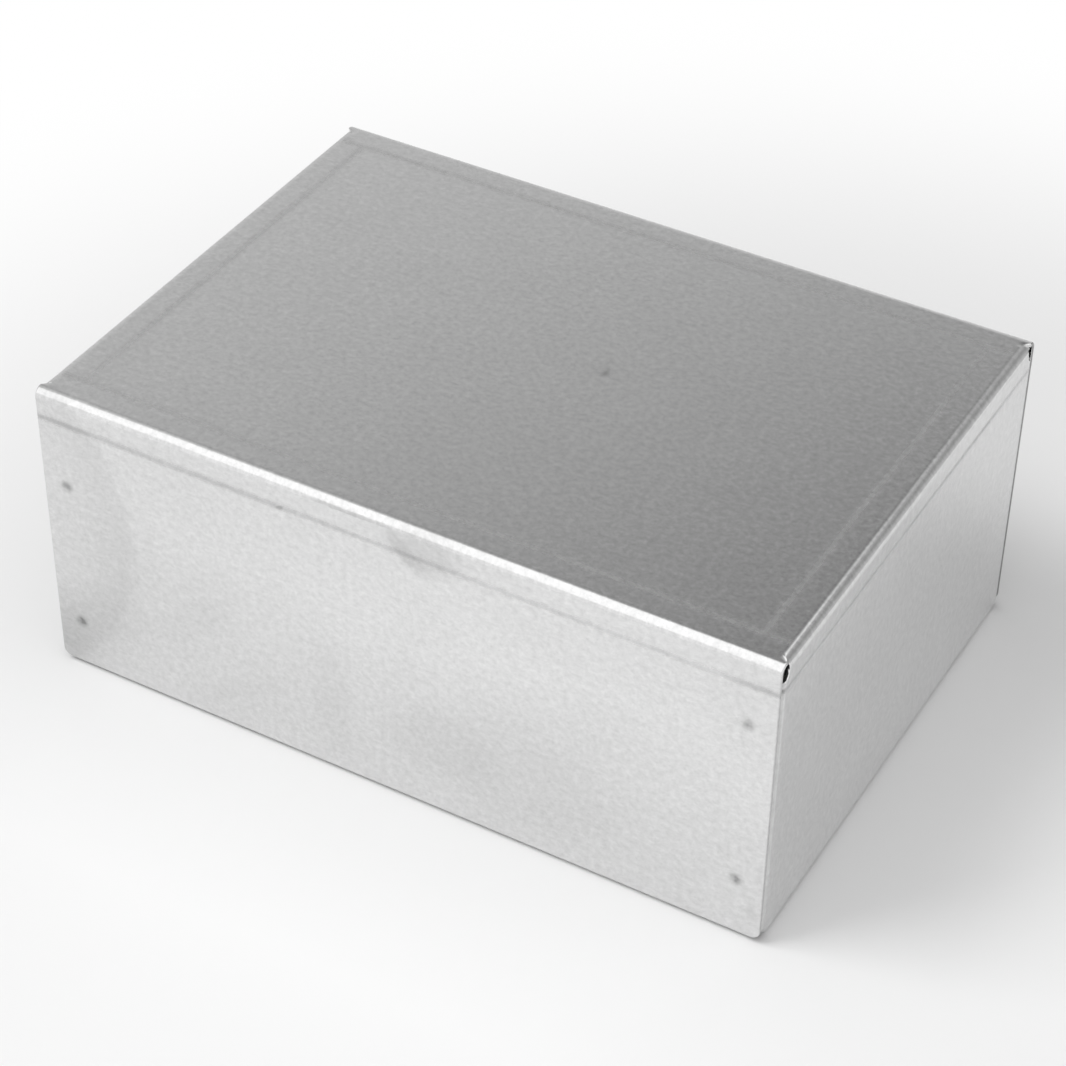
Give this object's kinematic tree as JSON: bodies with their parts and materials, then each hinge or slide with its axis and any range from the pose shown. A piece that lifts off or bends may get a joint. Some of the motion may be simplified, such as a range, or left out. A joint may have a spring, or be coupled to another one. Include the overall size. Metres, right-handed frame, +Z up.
{
  "type": "electronics chassis",
  "caption": "Open-bottomed folded aluminium electronics chassis with a flat top, four walls, spot-welded lapped corners and in-turned bottom lips.",
  "frame": {"origin": "middle of the footprint, level with the undersides of the bottom lips", "axes": "+X along the long walls to the right, +Y from the front wall to the back wall, +Z up through the top panel"},
  "size_m": [0.1778, 0.127, 0.0762],
  "materials": {
    "aluminium": "mill finish, satin"
  },
  "bodies": {
    "root": {"chassis": "aluminium"}
  },
  "joints": []
}
